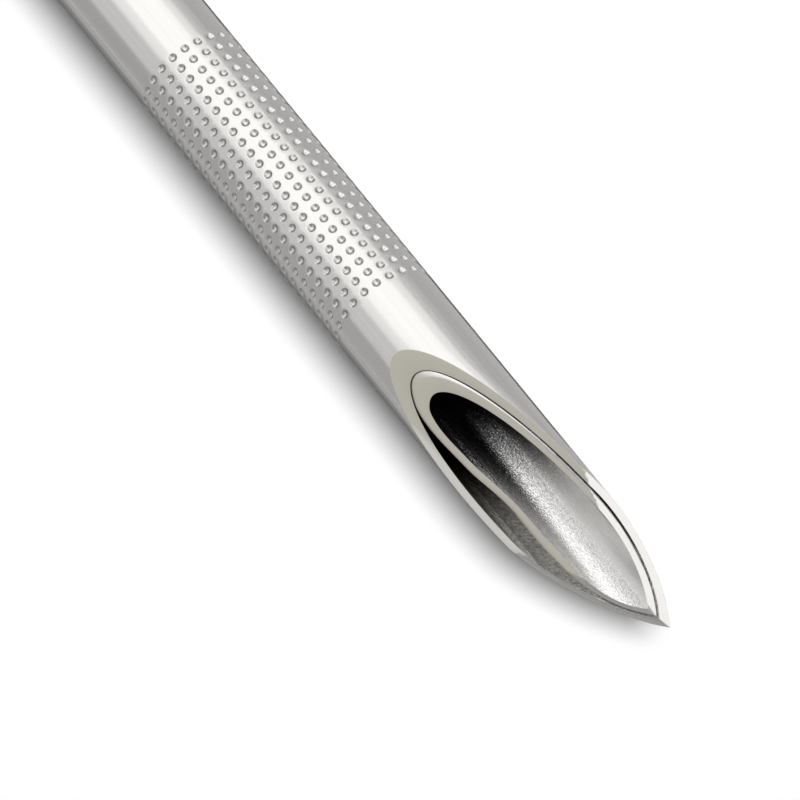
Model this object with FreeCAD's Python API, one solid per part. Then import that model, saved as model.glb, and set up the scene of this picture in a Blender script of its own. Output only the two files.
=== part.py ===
import FreeCAD, Part
import math
import os

# A two-lumen aspiration needle: a steel tube with a D-shaped tube inside it,
# both ground to one lancet point, carried in a two-shell handle with a branch
# for the flush line. X runs along the needle towards the point, the bevel
# faces +Z, and the handle lies on its flat belly at Z = 0. Millimetres.

# Needle tubes
OUTER_RADIUS = 0.8255
OUTER_WALL = 0.107
TUBE_GAP = 0.02
INNER_WALL = 0.095
D_FLAT = 0.445
D_DENT = 0.095
D_DENT_RISE = 0.125
D_DENT_HALF = 0.22
D_CORNER = 0.16
WORKING_LENGTH = 300.0

# Lancet point: one long bevel and two side grinds
BEVEL_ANGLE = 14.9
BEVEL_LENGTH = 5.43
SIDE_GRIND_ANGLE = 26.5
SIDE_GRIND_ROLL = 39.4

# Handle shells
AXIS_HEIGHT = 7.5
HANDLE_LENGTH = 92.0
SHELL_WALL = 1.6
TOP_CORNER = 3.2
BELLY_CORNER = 3.0
BELLY_TRIM = 0.4
BUTT_HALF_WIDTH = 5.9
BUTT_RISE = 6.3
PALM_HALF_WIDTH = 7.2
PALM_RISE = 7.8
WAIST_SETBACK = 22.0
WAIST_HALF_WIDTH = 6.2
WAIST_RISE = 6.4
GUARD_HALF_WIDTH = 8.4
GUARD_RISE = 9.0
HANDLE_SPANS = 2

# Clearances
SEAT_GAP = 0.05
SLIP_GAP = 0.02
TURN_GAP = 0.03
FREE_GAP = 0.3

# Front ring, in the colour of the gauge, and the soft nose
RING_THICK = 3.0
NOSE_SEAT_DEPTH = 3.0
NOSE_ROOT_RADIUS = 4.9
NOSE_NECK_RADIUS = 3.2
NOSE_TIP_RADIUS = 1.5
NOSE_STEPS = 4
NOSE_LENGTH = 13.0

# Steel hub brazed to the outer tube
FRONT_BLOCK = 10.0
HUB_FLANGE_FLATS = 8.0
HUB_FLANGE_LENGTH = 4.0
HUB_LIP = 0.5
HUB_RADIUS = 3.0
HUB_LENGTH = 14.0
HUB_TAIL_RADIUS = 2.2
HUB_TAIL_LENGTH = 8.0
HUB_SEAL_LENGTH = 1.2

# Manifold: flush chamber, branch and tubing socket in one moulding
MANIFOLD_RADIUS = 4.2
CHAMBER_RADIUS = 1.8
CHAMBER_LENGTH = 16.4
MID_BLOCK = 8.0
REAR_BLOCK = 8.0
OUTER_TAIL = 3.6
D_OVERRUN = 2.2
ROUNDING_LENGTH = 3.2
ROUNDING_LEAN = 0.15
SEAL_LENGTH = 2.4
PARTITION = 22.0
TUBING_RADIUS = 1.6
SPIGOT_RADIUS = 3.6
SPIGOT_LENGTH = 11.0
MOUTH_RADIUS = 2.8
MOUTH_DEPTH = 3.0

# Branch for the flush line, and the standard locking cone of its port
BRANCH_ANGLE = 38.0
BRANCH_SETBACK = 5.2
BRANCH_RADIUS = 3.0
BRANCH_BORE = 1.2
BRANCH_REACH = 27.0
CONE_MOUTH_RADIUS = 2.13
CONE_DEPTH = 7.5
CONE_SLOPE = 0.03
CONE_ENGAGED = 5.5
LUG_RADIUS = 3.9
LUG_LENGTH = 1.2
LUG_WIDTH = 4.4

# Stopcock
SLEEVE_RADIUS = 3.9
SLEEVE_OVERLAP = 6.0
SLEEVE_WALL = 1.5
COCK_SETBACK = 8.0
COCK_TUBE_RADIUS = 3.0
COCK_BORE = 1.1
BARREL_RADIUS = 4.3
BARREL_HALF = 5.2
PLUG_RADIUS = 2.6
PLUG_FLANGE_RADIUS = 3.3
PLUG_FLANGE_LENGTH = 0.8
COCK_PORT_LENGTH = 16.0
LEVER_HUB_RADIUS = 4.1
LEVER_THICK = 2.2
LEVER_REACH = 14.5
LEVER_ROOT_WIDTH = 6.0
LEVER_END_WIDTH = 4.4

# Port cap
CAP_RADIUS = 5.0
CAP_SKIRT = 6.0
CAP_TOP = 2.0
CAP_BORE = 4.1
CAP_RIBS = 8

# Finger ribs: depth, and shares of one rib's pitch
RIB_DEPTH = 0.5
RIB_CREST = 0.45
RIB_FLANK = 0.15

# Tubing nut and collet
NUT_RADIUS = 5.2
NUT_STANDOFF = 1.0
NUT_MOUTH_RADIUS = 1.9
NUT_END_WALL = 2.0
NUT_RIBS = 8
COLLET_LENGTH = 4.6
COLLET_SLOT = 0.5
COLLET_BORE = 1.8
END_RING_THICK = 3.0

# Grip inlays, bevel marker and pins
GRIP_SETBACK = 29.0
GRIP_LENGTH = 34.0
GRIP_HEIGHT = 6.4
GRIP_DROP = 0.6
GRIP_DEPTH = 1.0
GRIP_PROUD = 0.5
GRIP_RIBS = 7
GRIP_GROOVE = 1.2
MARKER_SETBACK = 24.0
MARKER_LENGTH = 9.0
MARKER_WIDTH = 3.0
MARKER_DEPTH = 1.0
MARKER_PROUD = 0.5
PIN_RADIUS = 0.7
PIN_LENGTH = 8.0
FRONT_PIN_FROM_AXIS = 3.6
REAR_PIN_FROM_AXIS = 5.8

V = FreeCAD.Vector

# Stations along the needle, counted back from the front of the handle
front = HANDLE_LENGTH / 2
back = -HANDLE_LENGTH / 2
nose_seat = front - NOSE_SEAT_DEPTH
hub_front = nose_seat - FRONT_BLOCK
flange_back = hub_front - HUB_FLANGE_LENGTH
front_block_back = flange_back - HUB_LIP
hub_shoulder = flange_back - HUB_LENGTH
hub_tail_end = hub_shoulder - HUB_TAIL_LENGTH
manifold_front = hub_shoulder - SEAT_GAP
chamber_front = hub_tail_end - HUB_SEAL_LENGTH - 2 * SLIP_GAP
chamber_back = chamber_front - CHAMBER_LENGTH
mid_block_back = manifold_front - MID_BLOCK
rear_block_front = back + REAR_BLOCK
branch_x = chamber_front - BRANCH_SETBACK
outer_end = chamber_front - OUTER_TAIL
d_end = outer_end - D_OVERRUN
round_start = d_end - ROUNDING_LENGTH
socket_floor = chamber_back - PARTITION
spigot_end = back - SPIGOT_LENGTH
nose_end = front + RING_THICK + NOSE_LENGTH
tip_x = nose_end + WORKING_LENGTH
bore_radius = OUTER_RADIUS - OUTER_WALL
inner_radius = bore_radius - TUBE_GAP

# Stations along the branch, counted outward from the needle's axis
socket_start = BRANCH_REACH - SLEEVE_OVERLAP
sleeve_end = BRANCH_REACH + SLEEVE_WALL
cock_centre = BRANCH_REACH + COCK_SETBACK
port_end = cock_centre + COCK_PORT_LENGTH
port_floor = port_end - CONE_DEPTH
cap_front = port_end - CAP_SKIRT

NEEDLE = FreeCAD.Placement(V(0, 0, AXIS_HEIGHT), FreeCAD.Rotation())
BRANCH = FreeCAD.Placement(
    V(branch_x, 0, AXIS_HEIGHT), FreeCAD.Rotation(V(0, 1, 0), 180 + BRANCH_ANGLE)
)


def placed(shape, placement):
    """Move a shape drawn about the X axis to the needle's or the branch's axis."""
    return shape.transformed(placement.toMatrix(), True)


def turned(points):
    """Turn a closed outline of (x, radius) points about the X axis."""
    corners = [V(x, 0, r) for x, r in points]
    face = Part.Face(Part.makePolygon(corners + corners[:1]))
    return face.revolve(V(0, 0, 0), V(1, 0, 0), 360)


def rod(start, end, radius):
    return Part.makeCylinder(radius, end - start, V(start, 0, 0), V(1, 0, 0))


def tube(start, end, radius, bore):
    return turned([(start, bore), (end, bore), (end, radius), (start, radius)])


def slab(start, end):
    """Everything between two stations along X."""
    reach = 3 * (GUARD_RISE + AXIS_HEIGHT)
    return Part.makeBox(end - start, 2 * reach, 2 * reach, V(start, -reach, -reach))


def ribbed(start, end, radius, count):
    """A round bar with lengthwise ribs for the fingers."""
    foot = radius - RIB_DEPTH
    marks = [
        (0, radius), (RIB_CREST, radius), (RIB_CREST + RIB_FLANK, foot), (1 - RIB_FLANK, foot),
    ]
    corners = []
    for index in range(count):
        for share, height in marks:
            angle = 2 * math.pi * (index + share) / count
            corners.append(V(start, height * math.cos(angle), height * math.sin(angle)))
    return Part.Face(Part.makePolygon(corners + corners[:1])).extrude(V(end - start, 0, 0))


# Lancet point


def beyond_plane(point, normal):
    """A block that fills the far side of a plane, big enough to clear the tip."""
    size = 4 * BEVEL_LENGTH
    block = Part.makeBox(2 * size, 2 * size, size, V(-size, -size, 0))
    turn = FreeCAD.Rotation(V(0, 0, 1), normal)
    return block.transformed(FreeCAD.Placement(point, turn).toMatrix(), True)


def grind_point(shape):
    """Grind the long bevel, then roll the needle each way for the side grinds."""
    heel = V(tip_x - BEVEL_LENGTH, 0, OUTER_RADIUS)
    point = V(tip_x, 0, -OUTER_RADIUS)
    bevel = math.radians(BEVEL_ANGLE)
    shape = shape.cut(beyond_plane(heel, V(math.sin(bevel), 0, math.cos(bevel))))
    side = math.radians(SIDE_GRIND_ANGLE)
    for roll in (-SIDE_GRIND_ROLL, SIDE_GRIND_ROLL):
        across = math.cos(side) * math.sin(math.radians(roll))
        upward = math.cos(side) * math.cos(math.radians(roll))
        shape = shape.cut(beyond_plane(point, V(math.sin(side), across, upward)))
    return shape


# Needle tubes


def outer_cannula():
    """The 16 gauge tube, ground to the lancet point."""
    shaft = tube(outer_end, tip_x, OUTER_RADIUS, bore_radius)
    return placed(grind_point(shaft), NEEDLE)


def arc_through(first, middle, last):
    return Part.Arc(first, middle, last).toShape()


def d_outline(x, radius, flat, corner):
    """The D section at x: an arc on the needle's axis and a flat with a dent in it."""
    centre_y = -(flat - corner)
    centre_z = math.sqrt((radius - corner) ** 2 - centre_y ** 2)
    lean = math.atan2(centre_z, centre_y)
    corner_top = V(x, radius * math.cos(lean), radius * math.sin(lean))
    flat_top = V(x, -flat, centre_z)
    half = (lean + math.pi) / 2
    corner_mid = V(x, centre_y + corner * math.cos(half), centre_z + corner * math.sin(half))

    def low(point):
        return V(point.x, point.y, -point.z)

    dented = [flat_top]
    for step in (1, 0.5, 0, -0.5, -1):
        sunk = D_DENT * (1 + math.cos(math.pi * step)) / 2
        dented.append(V(x, -flat + sunk, D_DENT_RISE + D_DENT_HALF * step))
    dented.append(low(flat_top))
    flat_side = Part.BSplineCurve()
    flat_side.interpolate(dented)
    return Part.Wire([
        arc_through(low(corner_top), V(x, radius, 0), corner_top),
        arc_through(corner_top, corner_mid, flat_top),
        flat_side.toShape(),
        arc_through(low(flat_top), low(corner_mid), low(corner_top)),
    ])


def round_outline(x, radius, flat, corner):
    """A circle at x in four arcs that meet the D section's four edges."""
    centre_y = -(flat - corner)
    centre_z = math.sqrt((radius - corner) ** 2 - centre_y ** 2)
    lean = math.atan2(centre_z, centre_y)
    edge = (lean + math.atan2(centre_z, -flat)) / 2 + ROUNDING_LEAN

    def at(angle):
        return V(x, radius * math.cos(angle), radius * math.sin(angle))

    return Part.Wire([
        arc_through(at(-lean), at(0), at(lean)),
        arc_through(at(lean), at((lean + edge) / 2), at(edge)),
        arc_through(at(edge), at(math.pi), at(-edge)),
        arc_through(at(-edge), at(-(lean + edge) / 2), at(-lean)),
    ])


def d_core(radius, flat, corner):
    """The D tube's solid form: D section, a short run to round, then round."""
    section = d_outline(d_end, radius, flat, corner)
    straight = Part.Face(section).extrude(V(tip_x - d_end, 0, 0))
    circle = round_outline(round_start, radius, flat, corner)
    change = Part.makeLoft([circle, section], True, True)
    tail = rod(socket_floor, round_start, radius)
    return straight, change, tail


def inner_cannula():
    """The aspiration tube: its flat leaves the flush lumen beside it."""
    outside = d_core(inner_radius, D_FLAT, D_CORNER)
    inside = d_core(inner_radius - INNER_WALL, D_FLAT - INNER_WALL, D_CORNER - INNER_WALL)
    walls = [solid.cut(hollow) for solid, hollow in zip(outside, inside)]
    whole = walls[0].fuse(walls[1:])
    return placed(grind_point(whole.removeSplitter()), NEEDLE)


# Handle shells


def handle_section(x, half_width, rise, inset, belly):
    """A rounded rectangle at x: flat belly, softer corners on top."""
    side = half_width - inset
    top = AXIS_HEIGHT + rise - inset
    high = TOP_CORNER - inset
    low = BELLY_CORNER - inset
    slant = math.sqrt(0.5)
    points = [
        (-side + low, belly), (side - low, belly),
        (side, belly + low), (side, top - high),
        (side - high, top), (-side + high, top),
        (-side, top - high), (-side, belly + low),
    ]
    corners = [
        (side - low + low * slant, belly + low - low * slant),
        (side - high + high * slant, top - high + high * slant),
        (-side + high - high * slant, top - high + high * slant),
        (-side + low - low * slant, belly + low - low * slant),
    ]
    edges = []
    for index in range(4):
        start = V(x, *points[2 * index])
        end = V(x, *points[2 * index + 1])
        after = V(x, *points[(2 * index + 2) % 8])
        edges.append(Part.makeLine(start, end))
        edges.append(arc_through(end, V(x, *corners[index]), after))
    return Part.Wire(edges)


def handle_outline():
    """Half width and rise at each station: butt, palm, waist, finger guard."""
    marks = [
        (back, BUTT_HALF_WIDTH, BUTT_RISE),
        (0.0, PALM_HALF_WIDTH, PALM_RISE),
        (front - WAIST_SETBACK, WAIST_HALF_WIDTH, WAIST_RISE),
        (front, GUARD_HALF_WIDTH, GUARD_RISE),
    ]
    outline = [marks[0]]
    for first, second in zip(marks, marks[1:]):
        for step in range(1, HANDLE_SPANS + 1):
            share = step / HANDLE_SPANS
            ease = (1 - math.cos(math.pi * share)) / 2
            x = first[0] + (second[0] - first[0]) * share
            half_width = first[1] + (second[1] - first[1]) * ease
            rise = first[2] + (second[2] - first[2]) * ease
            outline.append((x, half_width, rise))
    return outline


def span_face(near, far):
    """The face between the like edges of two neighbouring sections."""
    start, end = near.firstVertex(True).Point, near.lastVertex(True).Point
    far_start, far_end = far.firstVertex(True).Point, far.lastVertex(True).Point
    if near.Curve.TypeId == "Part::GeomLine":
        return Part.Face(Part.makePolygon([start, end, far_end, far_start, start]))
    return near.extrude(far_start - start)


def handle_form(inset, belly):
    """The handle's outside, or the same form shrunk by inset."""
    sections = [
        handle_section(x, half_width, rise, inset, belly)
        for x, half_width, rise in handle_outline()
    ]
    faces = [Part.Face(sections[0]), Part.Face(sections[-1])]
    for near, far in zip(sections, sections[1:]):
        faces += [span_face(*pair) for pair in zip(near.Edges, far.Edges)]
    skin = Part.Shell(faces)
    skin.sewShape()
    return Part.Solid(skin)


def above_belly(shape):
    reach = HANDLE_LENGTH
    room = Part.makeBox(2 * reach, 2 * reach, reach, V(-reach, -reach, 0))
    return shape.common(room)


def pin_places():
    """Where the dowels cross: front block and rear block."""
    return [
        ((nose_seat + hub_front) / 2, AXIS_HEIGHT + FRONT_PIN_FROM_AXIS),
        (back + REAR_BLOCK / 2, AXIS_HEIGHT - REAR_PIN_FROM_AXIS),
    ]


def cross_pins(radius, length):
    pins = []
    for x, z in pin_places():
        pins.append(Part.makeCylinder(radius, length, V(x, -length / 2, z), V(0, 1, 0)))
    return Part.makeCompound(pins)


def shell_pins():
    """Steel dowels that join the two shells."""
    return cross_pins(PIN_RADIUS, PIN_LENGTH)


def grip_window(gap):
    """The outline of a grip inlay, as a bar right across the handle."""
    half = GRIP_HEIGHT / 2 + gap
    height = AXIS_HEIGHT - GRIP_DROP
    middle = front - GRIP_SETBACK
    reach = 2 * GUARD_HALF_WIDTH
    run = GRIP_LENGTH / 2 - GRIP_HEIGHT / 2
    bar = Part.makeBox(2 * run, 2 * reach, 2 * half, V(middle - run, -reach, height - half))
    ends = []
    for sign in (-1, 1):
        foot = V(middle + sign * run, -reach, height)
        ends.append(Part.makeCylinder(half, 2 * reach, foot, V(0, 1, 0)))
    return bar.fuse(ends).removeSplitter()


def half_space(side):
    """The half of space on the +Y or the -Y side of the joint between shells."""
    reach = 2 * HANDLE_LENGTH
    base_y = 0 if side > 0 else -reach
    return Part.makeBox(2 * reach, reach, 2 * reach, V(-reach, base_y, -reach))


def marker_bar(gap, bottom, top):
    """A pointed bar on top of the handle, in line with the bevel."""
    half = MARKER_WIDTH / 2 + gap
    rear = front - MARKER_SETBACK - gap
    shoulder = front - MARKER_SETBACK + MARKER_LENGTH - MARKER_WIDTH / 2
    point = shoulder + half
    corners = [
        V(rear, -half, bottom), V(shoulder, -half, bottom), V(point, 0, bottom),
        V(shoulder, half, bottom), V(rear, half, bottom),
    ]
    return Part.Face(Part.makePolygon(corners + corners[:1])).extrude(V(0, 0, top - bottom))


def marker_floor():
    return AXIS_HEIGHT + WAIST_RISE - MARKER_DEPTH


def bevel_marker():
    """A raised arrow that tells the hand which way the bevel faces."""
    top = marker_floor() + MARKER_DEPTH + MARKER_PROUD
    return marker_bar(0, marker_floor(), top)


def hub_flange(gap):
    """Hexagonal flange that keeps the bevel in line with the handle."""
    corner = (HUB_FLANGE_FLATS / 2 + gap) / math.cos(math.pi / 6)
    corners = []
    for index in range(6):
        angle = math.pi / 6 + index * math.pi / 3
        corners.append(V(flange_back - gap, corner * math.sin(angle), corner * math.cos(angle)))
    outline = Part.Face(Part.makePolygon(corners + corners[:1]))
    return outline.extrude(V(HUB_FLANGE_LENGTH + 2 * gap, 0, 0))


def handle_hollows():
    """What both shells are hollowed for: weight, and the seats of the inner pieces."""
    inside = handle_form(SHELL_WALL, SHELL_WALL)
    seat = MANIFOLD_RADIUS + SEAT_GAP
    needle_way = OUTER_RADIUS + SEAT_GAP
    parts = [
        inside.common(slab(manifold_front + FREE_GAP, front_block_back)),
        inside.common(slab(rear_block_front, mid_block_back)),
        placed(rod(back - 1, manifold_front + 1, seat), NEEDLE),
        placed(rod(front_block_back - 1, flange_back, HUB_RADIUS + SEAT_GAP), NEEDLE),
        placed(hub_flange(SEAT_GAP), NEEDLE),
        placed(rod(flange_back, front, needle_way), NEEDLE),
        placed(rod(nose_seat, front + 1, NOSE_ROOT_RADIUS + SEAT_GAP), NEEDLE),
        placed(rod(0, BRANCH_REACH, BRANCH_RADIUS + FREE_GAP), BRANCH),
        cross_pins(PIN_RADIUS + SLIP_GAP, PIN_LENGTH + 2 * SEAT_GAP),
        grip_window(SEAT_GAP).cut(handle_form(GRIP_DEPTH + SEAT_GAP, -BELLY_TRIM)),
        marker_bar(SEAT_GAP, marker_floor() - SEAT_GAP, AXIS_HEIGHT + GUARD_RISE),
    ]
    return parts


def handle_shells():
    """Two moulded halves that meet on the plane Y = 0."""
    body = above_belly(handle_form(0, -BELLY_TRIM))
    for hollow in handle_hollows():
        body = body.cut(hollow)
    return body.common(half_space(1)), body.common(half_space(-1))


def grip_grooves(side):
    """Bars that leave ribs on a pad, down to the shell's own surface."""
    spacing = GRIP_LENGTH / (GRIP_RIBS + 1)
    rear = front - GRIP_SETBACK - GRIP_LENGTH / 2
    start_y = 0 if side > 0 else -GUARD_HALF_WIDTH
    bars = []
    for index in range(GRIP_RIBS):
        x = rear + (index + 1) * spacing - GRIP_GROOVE / 2
        corner = V(x, start_y, AXIS_HEIGHT - GRIP_DROP - GRIP_HEIGHT)
        bars.append(Part.makeBox(GRIP_GROOVE, GUARD_HALF_WIDTH, 2 * GRIP_HEIGHT, corner))
    return Part.makeCompound(bars).cut(handle_form(0, -BELLY_TRIM))


def grip_inlay(side):
    """A soft ribbed pad let into the side of a shell."""
    skin = handle_form(-GRIP_PROUD, -BELLY_TRIM)
    pad = grip_window(0).common(half_space(side)).common(skin)
    pad = pad.cut(handle_form(GRIP_DEPTH, -BELLY_TRIM))
    return pad.cut(grip_grooves(side))


# Front ring, nose, hub


def ring_plate(x, thickness, half_width, rise):
    """A plate with the handle's outline."""
    return Part.Face(handle_section(x, half_width, rise, 0, 0)).extrude(V(thickness, 0, 0))


def gauge_ring():
    """The ring that closes the shells in front, white for 16 gauge."""
    plate = ring_plate(front, RING_THICK, GUARD_HALF_WIDTH, GUARD_RISE)
    way = placed(rod(front - 1, front + RING_THICK + 1, NOSE_NECK_RADIUS + SEAT_GAP), NEEDLE)
    return plate.cut(way)


def nose_cone():
    """Soft strain relief: a root behind the ring and a stepped taper before it."""
    bore = OUTER_RADIUS + SLIP_GAP
    outline = [
        (nose_seat + SEAT_GAP, bore), (nose_seat + SEAT_GAP, NOSE_ROOT_RADIUS),
        (front - SEAT_GAP, NOSE_ROOT_RADIUS), (front - SEAT_GAP, NOSE_NECK_RADIUS),
    ]
    length = NOSE_LENGTH / NOSE_STEPS
    fall = (NOSE_NECK_RADIUS - NOSE_TIP_RADIUS) / (NOSE_STEPS - 1)
    for step in range(NOSE_STEPS):
        end = front + RING_THICK + (step + 1) * length
        radius = NOSE_NECK_RADIUS - step * fall
        outline.append((end, radius))
        outline.append((end, max(radius - fall, bore)))
    outline[-1] = (nose_end, bore)
    return placed(turned(outline), NEEDLE)


def cannula_hub():
    """The steel hub that holds the outer tube and closes the chamber's front."""
    barrel = rod(hub_shoulder, flange_back, HUB_RADIUS)
    tail = rod(hub_tail_end, hub_shoulder, HUB_TAIL_RADIUS)
    way = rod(hub_tail_end - 1, hub_front + 1, OUTER_RADIUS + SLIP_GAP)
    return placed(barrel.fuse([tail, hub_flange(0)]).cut(way), NEEDLE)


def hub_seal():
    """Silicone washer squeezed between the hub's tail and the chamber's rim."""
    end = hub_tail_end - SLIP_GAP
    washer = tube(chamber_front + SLIP_GAP, end, HUB_TAIL_RADIUS, OUTER_RADIUS + SLIP_GAP)
    return placed(washer, NEEDLE)


# Manifold and what seals the inner tube in it


def cone_hollow(floor, mouth):
    """A female locking cone, widest at the mouth."""
    floor_radius = CONE_MOUTH_RADIUS - CONE_SLOPE * (mouth - floor)
    over = mouth + 1
    return turned([
        (floor, 0), (floor, floor_radius),
        (over, CONE_MOUTH_RADIUS + CONE_SLOPE), (over, 0),
    ])


def lugs(mouth):
    """The two ears that a locking collar or a cap takes hold of."""
    disc = rod(mouth - LUG_LENGTH, mouth, LUG_RADIUS)
    bar = Part.makeBox(
        2 * LUG_LENGTH, 2 * LUG_RADIUS + 2, LUG_WIDTH,
        V(mouth - 2 * LUG_LENGTH, -LUG_RADIUS - 1, -LUG_WIDTH / 2),
    )
    return disc.common(bar)


def y_manifold():
    """Clear moulding with the flush chamber, the branch and the tubing socket."""
    barrel = rod(back, manifold_front, MANIFOLD_RADIUS)
    spigot = rod(spigot_end, back, SPIGOT_RADIUS)
    body = placed(barrel.fuse(spigot), NEEDLE)
    body = body.fuse(placed(rod(0, BRANCH_REACH, BRANCH_RADIUS), BRANCH))
    ways = turned([
        (spigot_end - 1, 0), (spigot_end - 1, MOUTH_RADIUS), (spigot_end + MOUTH_DEPTH, MOUTH_RADIUS),
        (spigot_end + MOUTH_DEPTH, TUBING_RADIUS), (socket_floor, TUBING_RADIUS),
        (socket_floor, inner_radius + SLIP_GAP), (chamber_back, inner_radius + SLIP_GAP),
        (chamber_back, CHAMBER_RADIUS), (chamber_front, CHAMBER_RADIUS),
        (chamber_front, HUB_TAIL_RADIUS + SEAT_GAP), (manifold_front + 1, HUB_TAIL_RADIUS + SEAT_GAP),
        (manifold_front + 1, 0),
    ])
    flush_way = rod(0, BRANCH_REACH + 1, BRANCH_BORE)
    return body.cut(placed(ways, NEEDLE)).cut(placed(flush_way, BRANCH))


def chamber_seal():
    """Silicone washer that closes the chamber round the inner tube."""
    start = chamber_back + SLIP_GAP
    washer = tube(start, start + SEAL_LENGTH, CHAMBER_RADIUS - SLIP_GAP, inner_radius + SLIP_GAP)
    return placed(washer, NEEDLE)


# Rear end: ring, collet and nut for the aspiration tubing


def end_ring():
    """The ring that closes the shells behind, round the manifold's spigot."""
    plate = ring_plate(back - END_RING_THICK, END_RING_THICK, BUTT_HALF_WIDTH, BUTT_RISE)
    way = placed(rod(back - END_RING_THICK - 1, back + 1, SPIGOT_RADIUS + SEAT_GAP), NEEDLE)
    return plate.cut(way)


def tube_collet():
    """Split sleeve that the nut closes on the tubing."""
    start = spigot_end + MOUTH_DEPTH - COLLET_LENGTH
    end = spigot_end + MOUTH_DEPTH - SEAT_GAP
    sleeve = tube(start, end, MOUTH_RADIUS - SEAT_GAP, COLLET_BORE)
    slot = Part.makeBox(
        COLLET_LENGTH + 2, COLLET_SLOT, 2 * NUT_RADIUS, V(start - 1, -COLLET_SLOT / 2, 0)
    )
    return placed(sleeve.cut(slot), NEEDLE)


def tube_nut():
    """Ribbed nut on the socket's spigot, open at the back for the tubing."""
    nut_front = back - END_RING_THICK - NUT_STANDOFF
    inner_floor = spigot_end + MOUTH_DEPTH - COLLET_LENGTH - SEAT_GAP
    nut_back = inner_floor - NUT_END_WALL
    grip = ribbed(nut_back, nut_front, NUT_RADIUS, NUT_RIBS)
    room = rod(inner_floor, nut_front + 1, SPIGOT_RADIUS + TURN_GAP)
    way = rod(nut_back - 1, inner_floor, NUT_MOUTH_RADIUS)
    return placed(grip.cut(room).cut(way), NEEDLE)


# Stopcock and cap on the branch


def stopcock_body():
    """Cross-bored barrel, bonded over the branch, with a locking cone port."""
    body = rod(socket_start, sleeve_end, SLEEVE_RADIUS)
    barrel = Part.makeCylinder(
        BARREL_RADIUS, 2 * BARREL_HALF, V(cock_centre, -BARREL_HALF, 0), V(0, 1, 0)
    )
    body = body.fuse([rod(sleeve_end, port_end, COCK_TUBE_RADIUS), barrel, lugs(port_end)])
    way = rod(BRANCH_REACH - 1, port_end, COCK_BORE)
    way = way.fuse([
        rod(socket_start - 1, BRANCH_REACH + SEAT_GAP, BRANCH_RADIUS + SLIP_GAP),
        cone_hollow(port_floor, port_end),
    ])
    seat = Part.makeCylinder(
        PLUG_RADIUS + TURN_GAP, 2 * BARREL_HALF + 2, V(cock_centre, -BARREL_HALF - 1, 0), V(0, 1, 0)
    )
    return placed(body.cut(way).cut(seat), BRANCH)


def stopcock_tap():
    """The turning plug, snapped through the barrel, with its lever."""
    under = -BARREL_HALF - TURN_GAP
    above = BARREL_HALF + TURN_GAP
    along = V(0, 1, 0)
    plug = Part.makeCylinder(PLUG_RADIUS, above - under, V(cock_centre, under, 0), along)
    flange = Part.makeCylinder(
        PLUG_FLANGE_RADIUS, PLUG_FLANGE_LENGTH, V(cock_centre, under - PLUG_FLANGE_LENGTH, 0), along
    )
    hub = Part.makeCylinder(LEVER_HUB_RADIUS, LEVER_THICK, V(cock_centre, above, 0), along)
    root = LEVER_ROOT_WIDTH / 2
    end = LEVER_END_WIDTH / 2
    reach = cock_centre + LEVER_REACH
    arm_start = V(cock_centre, above, -root)
    arm_edges = [
        Part.makeLine(arm_start, V(reach - end, above, -end)),
        arc_through(V(reach - end, above, -end), V(reach, above, 0), V(reach - end, above, end)),
        Part.makeLine(V(reach - end, above, end), V(cock_centre, above, root)),
        Part.makeLine(V(cock_centre, above, root), arm_start),
    ]
    arm = Part.Face(Part.Wire(arm_edges)).extrude(V(0, LEVER_THICK, 0))
    way = rod(cock_centre - PLUG_RADIUS - 1, cock_centre + PLUG_RADIUS + 1, COCK_BORE)
    return placed(plug.fuse([flange, hub, arm]).cut(way), BRANCH)


def port_cap():
    """Closing cap: a solid cone inside a ribbed skirt."""
    cap_floor = port_end + FREE_GAP
    tip = port_end - CONE_ENGAGED
    cone = turned([
        (tip, 0), (cap_floor, 0), (cap_floor, CONE_MOUTH_RADIUS + CONE_SLOPE * FREE_GAP - SLIP_GAP),
        (tip, CONE_MOUTH_RADIUS - CONE_SLOPE * CONE_ENGAGED - SLIP_GAP),
    ])
    grip = ribbed(cap_front, cap_floor + CAP_TOP, CAP_RADIUS, CAP_RIBS)
    room = rod(cap_front - 1, cap_floor, CAP_BORE)
    return placed(grip.cut(room).fuse(cone), BRANCH)


def write_parts():
    left, right = handle_shells()
    nodes = {
        "outer_cannula": outer_cannula(),
        "inner_cannula": inner_cannula(),
        "cannula_hub": cannula_hub(),
        "hub_seal": hub_seal(),
        "nose_cone": nose_cone(),
        "gauge_ring": gauge_ring(),
        "handle_shell_left": left,
        "handle_shell_right": right,
        "shell_pins": shell_pins(),
        "grip_inlay_left": grip_inlay(1),
        "grip_inlay_right": grip_inlay(-1),
        "bevel_marker": bevel_marker(),
        "y_manifold": y_manifold(),
        "chamber_seal": chamber_seal(),
        "end_ring": end_ring(),
        "tube_collet": tube_collet(),
        "tube_nut": tube_nut(),
        "stopcock_body": stopcock_body(),
        "stopcock_tap": stopcock_tap(),
        "port_cap": port_cap(),
    }
    os.makedirs("parts", exist_ok=True)
    for name, shape in nodes.items():
        shape.exportStep("parts/" + name + ".step")
        print(name, "solids", len(shape.Solids), "valid", shape.isValid())


write_parts()
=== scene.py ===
import math

import bpy
from mathutils import Matrix, Vector


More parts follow.
